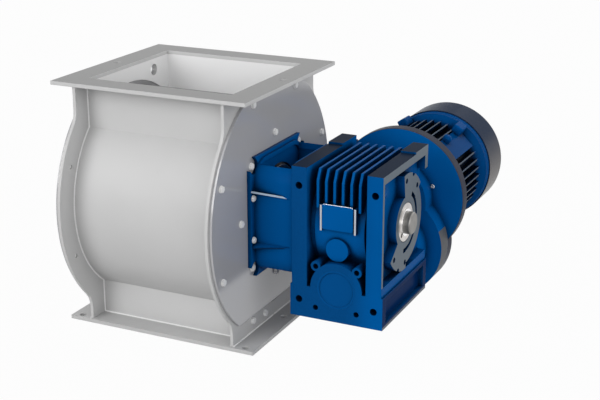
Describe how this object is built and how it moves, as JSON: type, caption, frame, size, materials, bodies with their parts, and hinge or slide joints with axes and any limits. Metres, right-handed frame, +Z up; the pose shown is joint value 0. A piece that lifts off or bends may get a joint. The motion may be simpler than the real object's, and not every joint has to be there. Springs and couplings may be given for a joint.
{
  "type": "rotary airlock valve",
  "caption": "Welded drum valve with a vaned rotor between two rectangular flanges, turned through a lantern by a worm gearbox, a gear pre-stage and a finned motor.",
  "frame": {"origin": "middle of the outlet flange's lower face, at the centre of its four corner holes", "axes": "+X along the rotor axis towards the drive, +Y across it towards the motor, +Z up towards the inlet"},
  "size_m": [0.5668, 0.64, 0.4],
  "materials": {
    "casing_sheet": "light grey satin paint",
    "flange_plate": "light grey satin paint",
    "end_plate_steel": "light grey satin paint",
    "cover_steel": "light grey gloss paint on a machined plate",
    "machined_steel": "machined",
    "hollow_shaft_steel": "ground",
    "rotor_steel": "welded and turned",
    "zinc_steel": "zinc plated",
    "seal_rubber": "matte",
    "blue_casting": "deep blue gloss paint on castings",
    "blue_motor": "deep blue gloss paint on castings",
    "cowl_sheet": "dark blue gloss paint on sheet",
    "wheel_bronze": "cut bronze",
    "winding_copper": "varnished copper",
    "fan_plastic": "moulded"
  },
  "bodies": {
    "casing": {"drum_casing": "casing_sheet", "inlet_flange": "flange_plate", "outlet_flange": "flange_plate", "drive_end_plate": "end_plate_steel", "tail_end_plate": "end_plate_steel", "drive_cover": "cover_steel", "tail_cover": "cover_steel", "wear_plates": "machined_steel", "cover_bolts": "zinc_steel", "plate_screws": "zinc_steel", "shaft_seals": "seal_rubber", "drive_bearing_housing": "machined_steel", "tail_bearing_housing": "machined_steel", "housing_bolts": "zinc_steel", "drive_bearing_cap": "machined_steel", "tail_bearing_cap": "machined_steel", "cap_screws": "zinc_steel", "rotor_bearing_outer": "machined_steel", "lantern": "blue_casting", "lantern_bolts": "zinc_steel", "lantern_screws": "zinc_steel", "gearbox_housing": "blue_casting", "inner_cover": "blue_casting", "inner_screws": "zinc_steel", "worm_cover": "blue_casting", "oil_plugs": "zinc_steel", "quill_bearing_outer": "machined_steel", "quill_seals": "seal_rubber", "worm_bearing_outer": "machined_steel", "stage_case": "blue_casting", "motor_flange": "blue_casting", "stage_screws": "zinc_steel", "motor_frame": "blue_motor", "stator": "machined_steel", "windings": "winding_copper", "motor_bearing_outer": "machined_steel", "rear_shield": "blue_motor", "fan_cowl": "cowl_sheet", "terminal_box": "blue_motor", "terminal_lid": "blue_motor"},
    "rotor": {"rotor_vanes": "rotor_steel", "vane_tips": "rotor_steel", "tip_screws": "zinc_steel", "rotor_shaft": "machined_steel", "rotor_bearing_inner": "machined_steel", "shaft_key": "machined_steel", "shaft_circlip": "machined_steel", "hollow_shaft": "hollow_shaft_steel", "wheel_hub": "machined_steel", "worm_wheel": "wheel_bronze", "quill_bearing_inner": "machined_steel"},
    "worm": {"worm_shaft": "machined_steel", "stage_gear": "machined_steel", "worm_bearing_inner": "machined_steel"},
    "motor_rotor": {"motor_shaft": "machined_steel", "pinion": "machined_steel", "motor_bearing_inner": "machined_steel", "cooling_fan": "fan_plastic"}
  },
  "joints": [
    {"name": "rotor_spin", "type": "hinge", "parent": "casing", "child": "rotor", "pos_m": [0, 0, 0.2], "axis": [1, 0, 0], "continuous": true},
    {"name": "worm_spin", "type": "hinge", "parent": "casing", "child": "worm", "pos_m": [0.283, 0, 0.11], "axis": [0, 1, 0], "continuous": true},
    {"name": "motor_spin", "type": "hinge", "parent": "casing", "child": "motor_rotor", "pos_m": [0.283, 0, 0.187], "axis": [0, 1, 0], "continuous": true}
  ],
  "couplings": [
    {"joint": "worm_spin", "follows": "rotor_spin", "ratio": -30},
    {"joint": "motor_spin", "follows": "rotor_spin", "ratio": 91.579}
  ]
}
